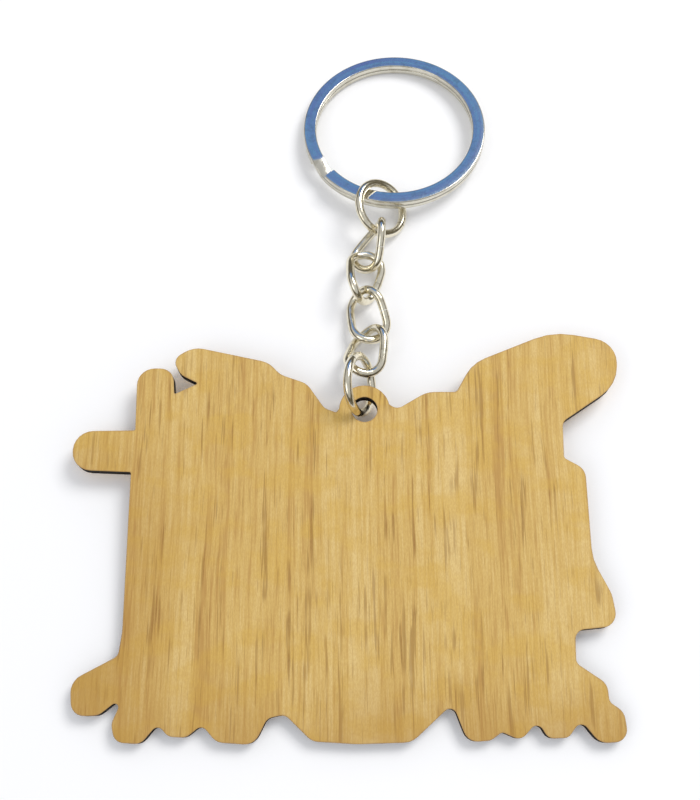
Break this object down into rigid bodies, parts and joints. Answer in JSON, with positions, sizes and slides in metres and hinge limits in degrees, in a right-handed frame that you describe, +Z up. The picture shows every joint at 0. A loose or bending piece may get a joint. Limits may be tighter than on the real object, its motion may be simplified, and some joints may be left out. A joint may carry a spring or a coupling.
{
  "type": "keychain",
  "caption": "Laser-cut plywood keychain plate with a short twisted-link chain, jump rings and a split key ring.",
  "frame": {"origin": "middle of the whole keychain, on the surface it lies on", "axes": "+Z up; +Y along the chain, from the plate to the split ring; +X to the right, seen from above"},
  "size_m": [0.0676, 0.0935, 0.0075],
  "materials": {
    "wood_face": "bare, fine vertical grain",
    "wood_core": "charred by the laser",
    "wire": "nickel plated, bright",
    "key_ring_steel": "nickel plated, polished"
  },
  "bodies": {
    "plate": {"back_veneer": "wood_face", "core_ply": "wood_core", "front_veneer": "wood_face"},
    "end_ring": {"end_ring": "wire"},
    "chain_link_4": {"chain_link_4": "wire"},
    "chain_link_3": {"chain_link_3": "wire"},
    "chain_link_2": {"chain_link_2": "wire"},
    "chain_link_1": {"chain_link_1": "wire"},
    "jump_ring": {"jump_ring": "wire"},
    "split_ring": {"split_ring": "key_ring_steel"}
  },
  "joints": [
    {"name": "end_ring_turn", "type": "hinge", "parent": "plate", "child": "end_ring", "pos_m": [0.00148, -0.00451, 0.00378], "axis": [0.9013, -0.0947, 0.4226], "range_deg": [0, 70]},
    {"name": "link_4_swing", "type": "hinge", "parent": "end_ring", "child": "chain_link_4", "pos_m": [0.00185, -0.00098, 0.00378], "axis": [0, 0, 1], "range_deg": [-40, 25]},
    {"name": "link_3_lift", "type": "hinge", "parent": "chain_link_4", "child": "chain_link_3", "pos_m": [0.00316, 0.00319, 0.00163], "axis": [0.9538, 0.2176, -0.2074], "range_deg": [0, 40]},
    {"name": "link_2_swing", "type": "hinge", "parent": "chain_link_3", "child": "chain_link_2", "pos_m": [0.00178, 0.00914, 0.00215], "axis": [0.6653, 0.0884, 0.7413], "range_deg": [-35, 35]},
    {"name": "link_1_swing", "type": "hinge", "parent": "chain_link_2", "child": "chain_link_1", "pos_m": [0.00269, 0.01453, 0.00173], "axis": [0.7071, 0, -0.7071], "range_deg": [-40, 40]},
    {"name": "jump_ring_swing", "type": "hinge", "parent": "chain_link_1", "child": "jump_ring", "pos_m": [0.00412, 0.01766, 0.00236], "axis": [0.8284, -0.0431, -0.5584], "range_deg": [-30, 40]},
    {"name": "split_ring_lift", "type": "hinge", "parent": "jump_ring", "child": "split_ring", "pos_m": [0.00637, 0.02232, 0.00265], "axis": [0.9253, 0, 0.3791], "range_deg": [-10, 60]}
  ]
}
